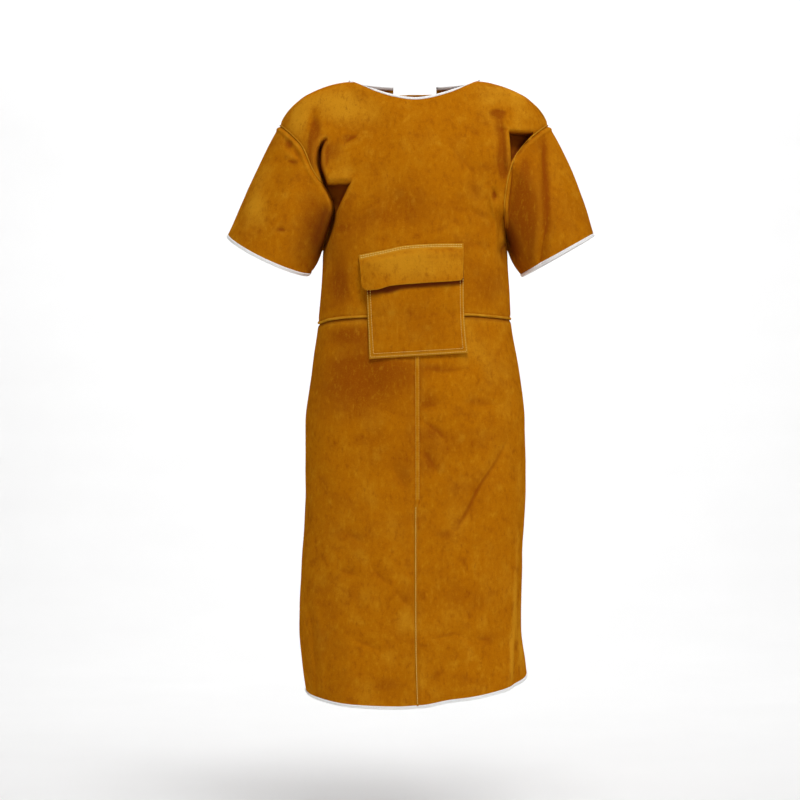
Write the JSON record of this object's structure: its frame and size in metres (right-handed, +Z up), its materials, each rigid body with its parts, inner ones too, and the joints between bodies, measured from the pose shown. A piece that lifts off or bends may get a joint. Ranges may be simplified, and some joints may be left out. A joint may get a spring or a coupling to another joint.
{
  "type": "leather welding apron",
  "caption": "Long gown-style split-leather welding apron with short sleeves, a flapped patch pocket, welted seams, white edge binding and an open strapped back.",
  "frame": {"origin": "point between the two shoulder-neck points, where the garment hangs from its wearer or form", "axes": "+Z up along the garment's length, -Y out of the front, +X towards the viewer's right from the front"},
  "size_m": [0.6941, 0.2749, 1.1712],
  "materials": {
    "suede": "napped ochre split leather",
    "welt": "rolled ochre leather strip",
    "binding": "woven white tape",
    "clasp": "dull black"
  },
  "bodies": {
    "root": {"bodice_front": "suede", "bodice_back_left": "suede", "bodice_back_right": "suede", "sleeve_left": "suede", "sleeve_right": "suede", "skirt_left": "suede", "skirt_right": "suede", "pocket_bag": "suede", "pocket_flap": "suede", "neck_strap": "suede", "waist_strap": "suede", "waist_welt": "welt", "center_welt": "welt", "armhole_welt_left": "welt", "armhole_welt_right": "welt", "neck_binding": "binding", "cuff_binding_left": "binding", "cuff_binding_right": "binding", "hem_binding": "binding", "neck_clasp": "clasp", "waist_clasp": "clasp"}
  },
  "joints": []
}
